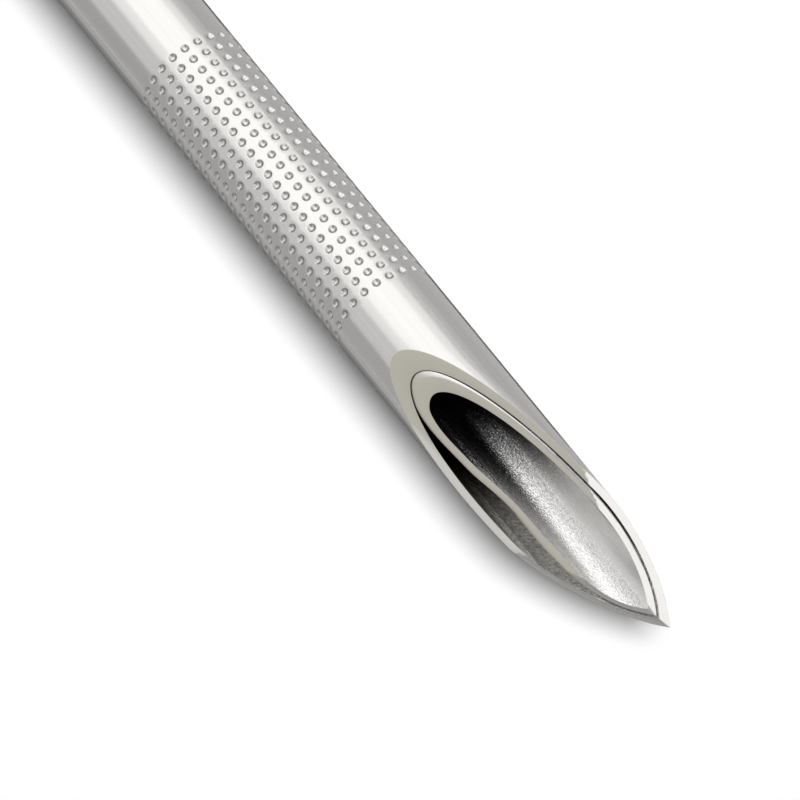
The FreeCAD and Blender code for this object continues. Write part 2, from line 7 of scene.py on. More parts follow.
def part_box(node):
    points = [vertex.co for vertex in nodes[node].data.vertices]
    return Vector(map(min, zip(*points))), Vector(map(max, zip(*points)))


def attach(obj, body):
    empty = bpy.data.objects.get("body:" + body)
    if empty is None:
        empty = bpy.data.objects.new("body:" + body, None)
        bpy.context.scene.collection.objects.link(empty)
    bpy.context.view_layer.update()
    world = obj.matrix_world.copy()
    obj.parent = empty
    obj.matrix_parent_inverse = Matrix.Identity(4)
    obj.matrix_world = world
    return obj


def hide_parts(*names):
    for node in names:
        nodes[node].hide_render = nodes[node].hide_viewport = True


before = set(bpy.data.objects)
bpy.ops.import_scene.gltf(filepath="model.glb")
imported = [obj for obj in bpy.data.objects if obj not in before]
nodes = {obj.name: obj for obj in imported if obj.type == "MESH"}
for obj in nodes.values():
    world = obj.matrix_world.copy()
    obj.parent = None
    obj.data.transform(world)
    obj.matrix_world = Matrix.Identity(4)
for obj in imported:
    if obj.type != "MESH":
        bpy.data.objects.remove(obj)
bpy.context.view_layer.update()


# Outer tube: 16 gauge stainless tube, 1.651 mm outside, polished along its drawing
# lines and brazed into the hub. A band of dimples is rolled into it, and its point
# is ground by a long bevel and two side grinds. The mesh follows every dimple's rim.

MM = 0.001
needle_low, needle_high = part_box("outer_cannula")
AXIS_HEIGHT = (needle_low.z + needle_high.z) / 2
TIP_X = needle_high.x
OUTER_RADIUS = 0.8255 * MM
OUTER_WALL = 0.107 * MM
BORE_RADIUS = OUTER_RADIUS - OUTER_WALL
BEVEL_ANGLE = math.radians(14.9)
BEVEL_LENGTH = 5.43 * MM
SIDE_GRIND_ANGLE = math.radians(26.5)
SIDE_GRIND_ROLL = math.radians(39.4)
EDGE_ROUND = 0.006 * MM
ROUND_STEPS = 3
ROUND_DROP = 0.4
DIMPLE_SETBACK = 6.51 * MM
DIMPLE_RINGS = 23
DIMPLE_PITCH = 0.226 * MM
DIMPLE_COLUMNS = 23
DIMPLE_TURN = math.radians(-5.3)
DIMPLE_RADIUS = 0.072 * MM
DIMPLE_SLOPE = 1.0
DIMPLE_LIP = 0.84
DIMPLE_CIRCLES = (0.25, 0.45, 0.62, 0.75, 0.84, 0.92, 1.0)
CELL_SIDES = 24
FINE_STEPS = 3
LEAD_IN = 0.02 * MM
SHAFT_STEPS = 8
WALL_SHARES = (0.25, 0.5, 0.75)
BORE_STATIONS = (TIP_X - BEVEL_LENGTH - 1 * MM, TIP_X - 20 * MM, TIP_X - 60 * MM)
SHARP_EDGE = math.radians(30)


class Wire:
    """A value on its way through a material's nodes; sums with it add Math nodes."""

    def __init__(self, tree, socket):
        self.tree = tree
        self.socket = socket

    def math(self, operation, first, second=None):
        return add_node(self.tree, "ShaderNodeMath", {"operation": operation}, {0: first, 1: second})

    def __add__(self, other):
        return self.math("ADD", self, other)

    def __radd__(self, other):
        return self.math("ADD", other, self)

    def __sub__(self, other):
        return self.math("SUBTRACT", self, other)

    def __rsub__(self, other):
        return self.math("SUBTRACT", other, self)

    def __mul__(self, other):
        return self.math("MULTIPLY", self, other)

    def __rmul__(self, other):
        return self.math("MULTIPLY", other, self)

    def __abs__(self):
        return self.math("ABSOLUTE", self)

    def at_least(self, other):
        return self.math("MAXIMUM", self, other)

    def between(self, start, end):
        """A smooth step from 0 at start to 1 at end; either of the two may be the greater."""
        return add_node(
            self.tree, "ShaderNodeMapRange", {"interpolation_type": "SMOOTHSTEP"},
            {"Value": self, "From Min": start, "From Max": end},
        )

    def part(self, name):
        """X, Y or Z of a place."""
        return add_node(self.tree, "ShaderNodeSeparateXYZ", {}, {"Vector": self}, name)

    def turned(self, angle):
        """A place turned about Y."""
        return add_node(
            self.tree, "ShaderNodeVectorRotate", {"rotation_type": "Y_AXIS"},
            {"Vector": self, "Angle": angle},
        )

    def counted(self, sizes):
        """A place counted in features of the given sizes along X, Y and Z."""
        factors = tuple(1 / size for size in sizes)
        return add_node(
            self.tree, "ShaderNodeVectorMath", {"operation": "MULTIPLY"}, {0: self, 1: factors},
        )


def add_node(tree, kind, settings, sockets, output=0):
    """A node of one type: first its settings, then the values or wires of its sockets."""
    node = tree.nodes.new(kind)
    for name, value in settings.items():
        setattr(node, name, value)
    for name, value in sockets.items():
        feed(tree, node.inputs[name], value)
    return Wire(tree, node.outputs[output])


def feed(tree, socket, value):
    if isinstance(value, Wire):
        tree.links.new(value.socket, socket)
    elif value is not None:
        socket.default_value = value


def grain(place, sizes, detail=3.0, roughness=0.5):
    """Noise from 0 to 1 with features of the given sizes along X, Y and Z."""
    return add_node(
        place.tree, "ShaderNodeTexNoise", {},
        {"Vector": place.counted(sizes), "Scale": 1.0, "Detail": detail, "Roughness": roughness},
    )


def tint(share, first, second):
    """A colour between two, by a wire from 0 to 1."""
    return add_node(
        share.tree, "ShaderNodeMix", {"data_type": "RGBA"}, {0: share, 6: first, 7: second}, 2,
    )


def patchy(sizes, least, spread):
    """A roughness that varies a little over patches or marks of the given sizes."""
    return lambda place: least + spread * grain(place, sizes)


def surface(name, color, roughness, metallic=0.0, relief=None, edge=None, **constants):
    """A material; its color, roughness and relief are functions of the place, or fixed.

    A relief is a depth and a height, and an edge is the radius to which the mould
    has rounded sharp corners.
    """
    material = bpy.data.materials.new(name)
    material.use_nodes = True
    tree = material.node_tree
    shader = tree.nodes["Principled BSDF"]
    place = add_node(tree, "ShaderNodeTexCoord", {}, {}, "Object")
    feed(tree, shader.inputs["Base Color"], color(place) if callable(color) else color)
    feed(tree, shader.inputs["Roughness"], roughness(place) if callable(roughness) else roughness)
    shader.inputs["Metallic"].default_value = metallic
    for socket, value in constants.items():
        shader.inputs[socket.replace("_", " ")].default_value = value
    if relief:
        depth, height = relief
        corners = add_node(tree, "ShaderNodeBevel", {}, {"Radius": edge}) if edge else None
        bump = add_node(
            tree, "ShaderNodeBump", {}, {"Distance": depth, "Height": height(place), "Normal": corners},
        )
        feed(tree, shader.inputs["Normal"], bump)
    return material


# Its polished wall.
WARM_STEEL = (0.495, 0.488, 0.476, 1)
LIGHT_STEEL = (0.53, 0.523, 0.513, 1)
DRAWN_LINE = (9 * MM, 0.08 * MM, 0.08 * MM)
DRAWN_DEPTH = 0.00005 * MM
POLISH_PATCH = (2 * MM, 0.2 * MM, 0.2 * MM)


def drawn_lines(place):
    return grain(place, DRAWN_LINE)


def polished_color(place):
    return tint(drawn_lines(place).between(0.2, 0.8), WARM_STEEL, LIGHT_STEEL)


polished_roughness = patchy(POLISH_PATCH, least=0.15, spread=0.06)
polished_steel = surface(
    "outer_steel_polished", polished_color, polished_roughness, 1.0, (DRAWN_DEPTH, drawn_lines),
)

# The walls of its pits: painted shade makes them darker than the tube, but for the lit far +Y side.
DIMPLE_PAINTED_SHADE = (0.365, 0.36, 0.345, 1)
DIMPLE_SHADE_TO = 0.64 * MM
DIMPLE_LIGHT_FROM = 0.74 * MM


# Painted shade on the pit walls, kept light on the far +Y side.
def dimple_color(place):
    return tint(place.part("Y").between(DIMPLE_SHADE_TO, DIMPLE_LIGHT_FROM), DIMPLE_PAINTED_SHADE, LIGHT_STEEL)


dimple_steel = surface("dimple_steel", dimple_color, polished_roughness, 1.0)

# The matt, warm faces that the wheel leaves: the bevel, with painted light paler on
# its far -Y side, and the brighter side grinds.
GROUND_STEEL = (0.44, 0.42, 0.365, 1)
GROUND_LIGHT = (0.47, 0.452, 0.40, 1)
# Painted light: the pale colour of the bevel's far -Y side.
GROUND_PAINTED_PALE = (0.575, 0.565, 0.53, 1)
PALE_FROM = -0.5 * MM
PALE_TO = -0.62 * MM
SIDE_STEEL = (0.49, 0.48, 0.468, 1)
SIDE_LIGHT = (0.52, 0.51, 0.498, 1)
GRIND_CLOUD = (0.3 * MM, 0.3 * MM, 0.3 * MM)
GRIND_MARK = (0.02 * MM, 0.4 * MM, 0.02 * MM)
GRIND_RIDGE = (0.02 * MM, 0.3 * MM, 0.02 * MM)
BEVEL_RIDGE_DEPTH = 0.0006 * MM
SIDE_RIDGE_DEPTH = 0.0004 * MM


# Painted light makes the bevel paler towards its far -Y side.
def ground_color(place):
    warm = tint(grain(place, GRIND_CLOUD), GROUND_STEEL, GROUND_LIGHT)
    return tint(place.part("Y").between(PALE_TO, PALE_FROM), GROUND_PAINTED_PALE, warm)


def side_color(place):
    return tint(grain(place, GRIND_CLOUD), SIDE_STEEL, SIDE_LIGHT)


def grind_ridges(place):
    return grain(place, GRIND_RIDGE)


ground_roughness = patchy(GRIND_MARK, least=0.33, spread=0.1)
ground_steel = surface(
    "ground_steel", ground_color, ground_roughness, 1.0, (BEVEL_RIDGE_DEPTH, grind_ridges),
)
side_roughness = patchy(GRIND_MARK, least=0.2, spread=0.1)
side_steel = surface(
    "side_ground_steel", side_color, side_roughness, 1.0, (SIDE_RIDGE_DEPTH, grind_ridges),
)

# The flush lumen between the tubes, streaked from the drawing. Painted shade makes it
# dark but near the open end, and darker still in the narrow gap at its lower side.
# Painted shade: the dark colour deep in both lumens and the bore, where no light comes back.
PAINTED_SHADE = (0.012, 0.011, 0.011, 1)
LUMEN_DULL = (0.42, 0.41, 0.395, 1)
LUMEN_BRIGHT = (0.92, 0.91, 0.89, 1)
LUMEN_ROUGHNESS = 0.3
LUMEN_DARK_FROM = 4.6 * MM
LUMEN_LIGHT_FROM = 2.6 * MM
STREAK = (0.06 * MM, 0.06 * MM, 0.016 * MM)
STREAK_LEAN = math.radians(-41)
STREAK_DEPTH = 0.012 * MM
NARROW_FROM = 0.5 * MM
NARROW_TO = 0.62 * MM
NARROW_SIDE = 0.05 * MM
NARROW_SHADE = 0.75


def depth_light(along, dark_from, light_from):
    """A mask for painted shade: 0 deep in the needle, where no light comes back, to 1 by the open end."""
    return along.between(TIP_X - dark_from, TIP_X - light_from)


def streak_grain(place):
    return grain(place.turned(STREAK_LEAN), STREAK, 2.0, 0.6)


def lumen_color(place):
    streaks = tint(streak_grain(place).between(0.35, 0.65), LUMEN_DULL, LUMEN_BRIGHT)
    # Painted shade: dark deep in the needle and in the narrow gap at the lower side.
    light = depth_light(place.part("X"), LUMEN_DARK_FROM, LUMEN_LIGHT_FROM)
    low = place.part("Z").between(AXIS_HEIGHT - NARROW_FROM, AXIS_HEIGHT - NARROW_TO)
    narrow = low * place.part("Y").between(NARROW_SIDE, -NARROW_SIDE)
    return tint(light * (1 - NARROW_SHADE * narrow), PAINTED_SHADE, streaks)


lumen_steel = surface(
    "lumen_steel", lumen_color, LUMEN_ROUGHNESS, 1.0, (STREAK_DEPTH, streak_grain),
)


def quads(rows):
    """The corners of the faces between closed rows of points."""
    for first, second in zip(rows, rows[1:]):
        for here in range(len(first)):
            after = (here + 1) % len(first)
            yield first[here], first[after], second[after], second[here]


class Skin:
    """Points and faces of one mesh; points that coincide are shared."""

    def __init__(self):
        self.points = []
        self.faces = []
        self.finishes = []
        self.known = {}

    def add(self, x, y, z):
        """A point at x along the needle, and at y and z off its axis."""
        key = (round(x, 9), round(y, 9), round(z, 9))
        if key not in self.known:
            self.known[key] = len(self.points)
            self.points.append((x, y, z + AXIS_HEIGHT))
        return self.known[key]

    def row(self, places):
        return [self.add(*place) for place in places]

    def face(self, corners, finish):
        self.faces.append(corners)
        self.finishes.append(finish.name)

    def stack(self, rows, finish):
        for corners in quads(rows):
            self.face(corners, finish)

    def build(self, name, materials, body):
        """The mesh as an object that rides on one of the part's bodies."""
        order = {material.name: number for number, material in enumerate(materials)}
        mesh = bpy.data.meshes.new(name)
        mesh.from_pydata(self.points, [], self.faces)
        for material in materials:
            mesh.materials.append(material)
        mesh.polygons.foreach_set("material_index", [order[finish] for finish in self.finishes])
        mesh.polygons.foreach_set("use_smooth", [True] * len(self.faces))
        mesh.set_sharp_from_angle(angle=SHARP_EDGE)
        made = bpy.data.objects.new(name, mesh)
        bpy.context.scene.collection.objects.link(made)
        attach(made, body)
        return made


def circle(radius, angles):
    """A round outline as (y, z) off the axis."""
    return [(radius * math.cos(angle), radius * math.sin(angle)) for angle in angles]


def straight(x, outline):
    """An outline's places at x along the needle."""
    return [(x, y, z) for y, z in outline]


def column_angles():
    """Angles of the cell borders, spaced as the rays of a dimple's mesh meet them."""
    half = math.pi / DIMPLE_COLUMNS
    steps = CELL_SIDES // 8
    angles = []
    for column in range(DIMPLE_COLUMNS):
        centre = DIMPLE_TURN + 2 * half * column
        for step in range(-steps, steps):
            angles.append(centre + half * math.tan(math.pi / 4 * step / steps))
    return angles


def fine_angles(angles):
    """The same turn in finer steps, for the ground rim."""
    closed = angles + [angles[0] + 2 * math.pi]
    return [
        first + (second - first) * step / FINE_STEPS
        for first, second in zip(closed, closed[1:])
        for step in range(FINE_STEPS)
    ]


def dimple_depth(share):
    """A ball's print with a rounded lip, at a share of the dimple's radius."""
    lip = 1 - DIMPLE_LIP
    if share > DIMPLE_LIP:
        return DIMPLE_RADIUS * DIMPLE_SLOPE * (1 - share) ** 2 / (2 * lip)
    ball = (DIMPLE_LIP ** 2 - share ** 2) / (2 * DIMPLE_LIP)
    return DIMPLE_RADIUS * DIMPLE_SLOPE * (lip / 2 + ball)


def dimple_cell(skin, x, turn):
    """One cell of the tube's wall with a round, smooth pit in its middle."""
    half_length = DIMPLE_PITCH / 2
    half_turn = math.pi / DIMPLE_COLUMNS
    rays = [2 * math.pi * step / CELL_SIDES for step in range(CELL_SIDES)]

    def on_wall(along, around, sunk):
        radius = OUTER_RADIUS - sunk
        return (x + along, radius * math.cos(turn + around), radius * math.sin(turn + around))

    circles = []
    for share in DIMPLE_CIRCLES:
        reach = share * DIMPLE_RADIUS
        sunk = dimple_depth(share)
        circles.append(skin.row(
            on_wall(reach * math.cos(ray), reach * math.sin(ray) / OUTER_RADIUS, sunk) for ray in rays
        ))
    border = []
    for ray in rays:
        stretch = 1 / max(abs(math.cos(ray)), abs(math.sin(ray)))
        along = half_length * math.cos(ray) * stretch
        border.append(on_wall(along, half_turn * math.sin(ray) * stretch, 0))
    bottom = skin.add(*on_wall(0, 0, dimple_depth(0)))
    for here, after in zip(circles[0], circles[0][1:] + circles[0][:1]):
        skin.face((bottom, here, after), polished_steel)
    skin.stack(circles[:2], polished_steel)
    skin.stack(circles[1:-1], dimple_steel)
    skin.stack([*circles[-2:], skin.row(border)], polished_steel)


# The planes of the three grinds, each by a place and a normal; the bevel is first.
heel = Vector((TIP_X - BEVEL_LENGTH, 0, OUTER_RADIUS))
point = Vector((TIP_X, 0, -OUTER_RADIUS))
grinds = [(heel, Vector((math.sin(BEVEL_ANGLE), 0, math.cos(BEVEL_ANGLE))))]
for roll in (-SIDE_GRIND_ROLL, SIDE_GRIND_ROLL):
    side_normal = Vector((
        math.sin(SIDE_GRIND_ANGLE),
        math.cos(SIDE_GRIND_ANGLE) * math.sin(roll),
        math.cos(SIDE_GRIND_ANGLE) * math.cos(roll),
    ))
    grinds.append((point, side_normal))


def ground_end(y, z):
    """Where a line along the needle at (y, z) meets the grinds: place, slope and grind."""
    ends = []
    for which, (foot, normal) in enumerate(grinds):
        rise = normal.y * (y - foot.y) + normal.z * (z - foot.z)
        ends.append((foot.x - rise / normal.x, normal.x, which))
    return min(ends)


def rim_rows(skin, outside, inside, outer_round, inner_round):
    """Rows across a ground rim, from the outer wall to the bore, with rounded edges."""
    quarter = [math.pi / 2 * step / ROUND_STEPS for step in range(ROUND_STEPS + 1)]
    marks = [(True, angle) for angle in quarter] + [(False, angle) for angle in reversed(quarter)]
    rows = []
    for at_outer_edge, angle in marks:
        row = []
        size = outer_round if at_outer_edge else inner_round
        for (y0, z0), (y1, z1) in zip(outside, inside):
            run = ground_end(y1, z1)[0] - ground_end(y0, z0)[0]
            inset = size * (1 - math.cos(angle)) / math.hypot(run, y1 - y0, z1 - z0)
            share = inset if at_outer_edge else 1 - inset
            y = y0 + (y1 - y0) * share
            z = z0 + (z1 - z0) * share
            end, slope, _ = ground_end(y, z)
            row.append((end - ROUND_DROP * size * (1 - math.sin(angle)) / slope, y, z))
        rows.append(skin.row(row))
    return rows


def ground_stack(skin, rows):
    """Faces between rim rows, finished by the wheel that ground each of them."""
    for corners in quads(rows):
        y = sum(skin.points[corner][1] for corner in corners) / 4
        z = sum(skin.points[corner][2] for corner in corners) / 4 - AXIS_HEIGHT
        by_bevel = ground_end(y, z)[2] == 0
        skin.face(corners, ground_steel if by_bevel else side_steel)


outer_skin = Skin()
columns = column_angles()
fine = fine_angles(columns)
wall_outline = circle(OUTER_RADIUS, columns)
fine_outline = circle(OUTER_RADIUS, fine)
bore_outline = circle(BORE_RADIUS, fine)

# The plain shaft and the dimple band.
band_front = TIP_X - DIMPLE_SETBACK + DIMPLE_PITCH / 2
band_back = band_front - DIMPLE_RINGS * DIMPLE_PITCH
shaft_rows = []
for step in range(SHAFT_STEPS + 1):
    x = needle_low.x + (band_back - needle_low.x) * step / SHAFT_STEPS
    shaft_rows.append(outer_skin.row(straight(x, wall_outline)))
outer_skin.stack(shaft_rows, polished_steel)
for ring in range(DIMPLE_RINGS):
    ring_x = band_front - (ring + 0.5) * DIMPLE_PITCH
    for column in range(DIMPLE_COLUMNS):
        dimple_cell(outer_skin, ring_x, DIMPLE_TURN + 2 * math.pi * column / DIMPLE_COLUMNS)

# The wall ahead of the band, in finer columns, up to the ground rim.
coarse = outer_skin.row(straight(band_front, wall_outline))
fine_front = band_front + LEAD_IN
first_fine = outer_skin.row(straight(fine_front, fine_outline))
for here in range(len(coarse)):
    after = (here + 1) % len(coarse)
    ends = [first_fine[(FINE_STEPS * here + step) % len(fine)] for step in range(FINE_STEPS + 1)]
    outer_skin.face((coarse[here], coarse[after], *reversed(ends)), polished_steel)
outer_rim = rim_rows(outer_skin, fine_outline, bore_outline, EDGE_ROUND, EDGE_ROUND)
wall_rows = [first_fine]
for share in WALL_SHARES:
    row = []
    for corner, (y, z) in zip(outer_rim[0], fine_outline):
        end = outer_skin.points[corner][0]
        row.append((fine_front + (end - fine_front) * share, y, z))
    wall_rows.append(outer_skin.row(row))
outer_skin.stack([*wall_rows, outer_rim[0]], polished_steel)

# The rim, the bore and the end in the hub.
ground_stack(outer_skin, outer_rim)
bore_rows = [outer_rim[-1]]
bore_rows += [outer_skin.row(straight(x, bore_outline)) for x in (*BORE_STATIONS, needle_low.x)]
outer_skin.stack(bore_rows, lumen_steel)
outer_end = outer_skin.row(straight(needle_low.x, fine_outline))
outer_skin.stack([bore_rows[-1], outer_end], ground_steel)
outer_finishes = [polished_steel, ground_steel, lumen_steel, side_steel, dimple_steel]
outer_tube = outer_skin.build("outer_tube", outer_finishes, "needle")
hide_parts("outer_cannula")


# Inner tube: the aspiration lumen, a stainless tube drawn to a D section whose
# dented flat leaves the flush lumen beside it. It runs on to the socket, round
# again there, and is ground with the outer tube, its outer rim rounded over.

inner_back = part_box("inner_cannula")[0].x
TUBE_GAP = 0.02 * MM
INNER_RADIUS = BORE_RADIUS - TUBE_GAP
D_OUTSIDE = (-0.008 * MM, 0, INNER_RADIUS)
D_OUTSIDE_HIGH = (0.430 * MM, 0.21 * MM)
D_OUTSIDE_LOW = (0.462 * MM, 0.32 * MM)
D_OUTSIDE_DENT = (0.056 * MM, 0.11 * MM, 0.22 * MM)
D_INSIDE = (-0.023 * MM, 0.007 * MM, 0.606 * MM)
D_INSIDE_HIGH = (0.313 * MM, 0.17 * MM)
D_INSIDE_LOW = (0.340 * MM, 0.25 * MM)
D_INSIDE_DENT = (0.044 * MM, 0.10 * MM, 0.24 * MM)
D_END = inner_back + 32.6 * MM
ROUND_START = D_END - 3.2 * MM
RIM_ROUND = 0.05 * MM
ARC_STEPS = 240
CORNER_STEPS = 40
FLAT_STEPS = 100

# Its rounded rim, polished on the +Y side and as ground on the other.
POLISHED_FROM = -0.02 * MM
POLISHED_TO = 0.25 * MM
POLISH_GAIN = 0.2


def polished_share(place):
    return place.part("Y").between(POLISHED_FROM, POLISHED_TO)


def rounded_color(place):
    return tint(polished_share(place), ground_color(place), polished_color(place))


def rounded_roughness(place):
    return ground_roughness(place) - POLISH_GAIN * polished_share(place)


rounded_steel = surface("rounded_steel", rounded_color, rounded_roughness, 1.0)

# Its bore, with coarse crystals on the flat's side, finer and flatter towards +Y.
# Its colour holds painted light and shade: dark deep inside, lit towards the open
# end along a slanting border with painted sparkle, painted shade towards +Y, and a
# painted pool of light on the flat's inner face.
BORE_GRAIN = (0.022 * MM, 0.018 * MM, 0.018 * MM)
BORE_DEPTH = 0.01 * MM
BORE_LEAST_RELIEF = 0.25
BORE_RELIEF_SIDE = 0.12 * MM
BORE_DULL = (0.56, 0.552, 0.545, 1)
BORE_BRIGHT = (0.84, 0.832, 0.828, 1)
BORE_EVEN = (0.74, 0.732, 0.715, 1)
BORE_COARSE_TO = -0.1 * MM
BORE_EVEN_FROM = 0.15 * MM
# Painted light and shade in the bore's colour, by depth, by side and on the flat.
BORE_DARK_FROM = 4.85 * MM
BORE_LIGHT_FROM = 3.1 * MM
BORE_LIT_SIDE = -0.16 * MM
BORE_LIGHT_SKEW = 1.2
BORE_SPARKLE = 2.4 * MM
BORE_DIM_FROM = -0.4 * MM
BORE_DIM_TO = 0.3 * MM
BORE_DIMMING = 0.32
FLAT_EDGE = -0.15 * MM
FLAT_WALL = -0.25 * MM
FLAT_DARK_FROM = 5.7 * MM
FLAT_LIGHT_FROM = 4.4 * MM
FLAT_LIGHT = 0.5


def bore_grain(place):
    return grain(place, BORE_GRAIN, 1.0, 0.5)


def bore_roughness(place):
    return 0.2 + 0.1 * bore_grain(place)


def bore_relief(place):
    coarse_side = place.part("Y").between(BORE_RELIEF_SIDE, -BORE_RELIEF_SIDE)
    return bore_grain(place) * (BORE_LEAST_RELIEF + (1 - BORE_LEAST_RELIEF) * coarse_side)


def bore_color(place):
    x = place.part("X")
    y = place.part("Y")
    crystals = tint(bore_grain(place).between(0.3, 0.7), BORE_DULL, BORE_BRIGHT)
    steel = tint(y.between(BORE_COARSE_TO, BORE_EVEN_FROM), crystals, BORE_EVEN)
    skew = BORE_LIGHT_SKEW * abs(y - BORE_LIT_SIDE)
    sparkle = BORE_SPARKLE * (bore_grain(place) - 0.5)
    # Painted light from the open end, along a slanting border with painted sparkle.
    light = depth_light(x - skew + sparkle, BORE_DARK_FROM, BORE_LIGHT_FROM)
    # Painted shade towards +Y.
    dimming = 1 - BORE_DIMMING * y.between(BORE_DIM_FROM, BORE_DIM_TO)
    # A painted pool of light on the flat's inner face.
    painted_flat_light = FLAT_LIGHT * y.between(FLAT_EDGE, FLAT_WALL) * depth_light(x, FLAT_DARK_FROM, FLAT_LIGHT_FROM)
    return tint((light * dimming).at_least(painted_flat_light), PAINTED_SHADE, steel)


bore_steel = surface("bore_steel", bore_color, bore_roughness, 1.0, (BORE_DEPTH, bore_relief))


def arc(centre, radius, start, stop, steps):
    """An outline along an arc from one angle up to another, the last point left out."""
    y, z = centre
    angles = [start + (stop - start) * step / steps for step in range(steps)]
    return [(y + radius * math.cos(angle), z + radius * math.sin(angle)) for angle in angles]


def d_section(round_part, high, low, dent):
    """The D's outline as (y, z): arc, upper corner, dented flat, lower corner.

    The round part is (aside, up, radius), each end of the flat (distance, corner radius)
    and the dent (depth, height of its middle, half width).
    """
    aside, up, radius = round_part
    corners = []
    for (flat, corner), side in ((high, 1), (low, -1)):
        y = corner - flat
        z = up + side * math.sqrt((radius - corner) ** 2 - (y - aside) ** 2)
        corners.append((y, z, corner, math.atan2(z - up, y - aside)))
    high_y, high_z, high_corner, stop = corners[0]
    low_y, low_z, low_corner, start = corners[1]
    depth, rise, half = dent
    outline = arc((aside, up), radius, start, stop, ARC_STEPS)
    outline += arc((high_y, high_z), high_corner, stop, math.pi, CORNER_STEPS)
    for step in range(FLAT_STEPS):
        share = step / FLAT_STEPS
        z = high_z + (low_z - high_z) * share
        y = -high[0] + (high[0] - low[0]) * share
        off_middle = max(-1, min(1, (z - rise) / half))
        outline.append((y + depth * (1 + math.cos(math.pi * off_middle)) / 2, z))
    outline += arc((low_y, low_z), low_corner, math.pi, 2 * math.pi + start, CORNER_STEPS)
    return outline


def round_section(radius, like):
    """A circle whose points lie in the directions of another outline's points."""
    return [(radius * y / math.hypot(y, z), radius * z / math.hypot(y, z)) for y, z in like]


inner_skin = Skin()
d_outside = d_section(D_OUTSIDE, D_OUTSIDE_HIGH, D_OUTSIDE_LOW, D_OUTSIDE_DENT)
d_inside = d_section(D_INSIDE, D_INSIDE_HIGH, D_INSIDE_LOW, D_INSIDE_DENT)
inner_rim = rim_rows(inner_skin, d_outside, d_inside, RIM_ROUND, EDGE_ROUND)


def inner_rows(d_outline, radius):
    """Rows of one wall, from behind the point back to the tube's round end."""
    round_outline = round_section(radius, d_outline)
    rows = [inner_skin.row(straight(x, d_outline)) for x in (*BORE_STATIONS, D_END)]
    rows += [inner_skin.row(straight(x, round_outline)) for x in (ROUND_START, inner_back)]
    return rows


outer_wall = [inner_rim[0], *inner_rows(d_outside, INNER_RADIUS)]
inner_wall = [inner_rim[-1], *inner_rows(d_inside, D_INSIDE[2])]
inner_skin.stack(outer_wall[::-1], lumen_steel)
inner_skin.stack(inner_rim[:ROUND_STEPS + 1], rounded_steel)
ground_stack(inner_skin, inner_rim[ROUND_STEPS:])
inner_skin.stack(inner_wall, bore_steel)
inner_skin.stack([inner_wall[-1], outer_wall[-1]], ground_steel)
inner_finishes = [lumen_steel, ground_steel, bore_steel, side_steel, rounded_steel]
inner_tube = inner_skin.build("inner_tube", inner_finishes, "needle")
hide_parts("inner_cannula")


# Hub and dowels: turned stainless steel. The hub is brazed to the outer tube, and
# its hexagon sits in a pocket of both shells, which the two dowels line up.

HUB_STEEL = (0.6, 0.6, 0.59, 1)
LATHE_SHEEN = (0.05 * MM, 2 * MM, 2 * MM)
LATHE_LINE = (0.06 * MM, 3 * MM, 3 * MM)
LATHE_DEPTH = 0.004 * MM


def lathe_lines(place):
    return grain(place, LATHE_LINE)


def dress(names, finish):
    """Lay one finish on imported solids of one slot."""
    for name in names:
        piece = nodes[name]
        piece.data.materials.clear()
        piece.data.materials.append(finish)


hub_roughness = patchy(LATHE_SHEEN, least=0.2, spread=0.15)
hub_steel = surface("hub_steel", HUB_STEEL, hub_roughness, 1.0, (LATHE_DEPTH, lathe_lines))
dress(["cannula_hub", "shell_pins"], hub_steel)


# Washers: moulded silicone rings, pressed into the two ends of the flush chamber,
# where they seal it against the hub's tail and against the inner tube.

MOULD_EDGE = 0.25 * MM
MOULD_CLOUD = (6 * MM, 6 * MM, 6 * MM)
MOULD_DEEP = 0.9
MOULD_SPREAD = 0.15


def plastic(name, shade, roughness, size, depth, **constants):
    """A moulded material with a fine texture of one size and soft corners."""
    light = (*shade, 1)
    deep = (*(MOULD_DEEP * value for value in shade), 1)

    def color(place):
        return tint(grain(place, MOULD_CLOUD), deep, light)

    def texture(place):
        return grain(place, (size, size, size), 4.0, 0.6)

    def rough(place):
        return roughness + MOULD_SPREAD * texture(place)

    return surface(name, color, rough, 0.0, (depth, texture), MOULD_EDGE, **constants)


SILICONE = (0.7, 0.68, 0.64)
seal_silicone = plastic("seal_silicone", SILICONE, 0.5, 0.3 * MM, 0.01 * MM)
dress(["hub_seal", "chamber_seal"], seal_silicone)


# Manifold and stopcock body: moulded in clear, glossy plastic. The manifold lies in
# round seats of both shells, and the stopcock is bonded over its branch.

CLEAR = (0.9, 0.94, 0.95)
clear_plastic = plastic(
    "clear_plastic", CLEAR, 0.06, 0.8 * MM, 0.005 * MM, Transmission_Weight=0.85, IOR=1.5,
)
dress(["y_manifold", "stopcock_body"], clear_plastic)


# Handle shells: two halves moulded in stiff pale grey plastic with a fine matt
# texture, and glued together round hub and manifold at the needle's middle plane.

HANDLE_GREY = (0.62, 0.64, 0.655)
handle_plastic = plastic("handle_plastic", HANDLE_GREY, 0.42, 0.25 * MM, 0.02 * MM)
dress(["handle_shell_left", "handle_shell_right"], handle_plastic)


# Nose and grip inlays: soft dark elastomer. The nose is held by its root between
# shells and front ring, and the inlays are pressed into pockets of the shells.

SOFT_GREY = (0.12, 0.145, 0.18)
soft_grey = plastic("soft_grey", SOFT_GREY, 0.6, 0.4 * MM, 0.03 * MM)
dress(["nose_cone", "grip_inlay_left", "grip_inlay_right"], soft_grey)


# Front and rear rings: moulded in smooth plastic, white as the sign of the gauge.
# They close the shells at both ends, and the front one holds the nose's root.

GAUGE_WHITE = (0.68, 0.68, 0.665)
gauge_white = plastic("gauge_white", GAUGE_WHITE, 0.35, 0.3 * MM, 0.015 * MM)
dress(["gauge_ring", "end_ring"], gauge_white)


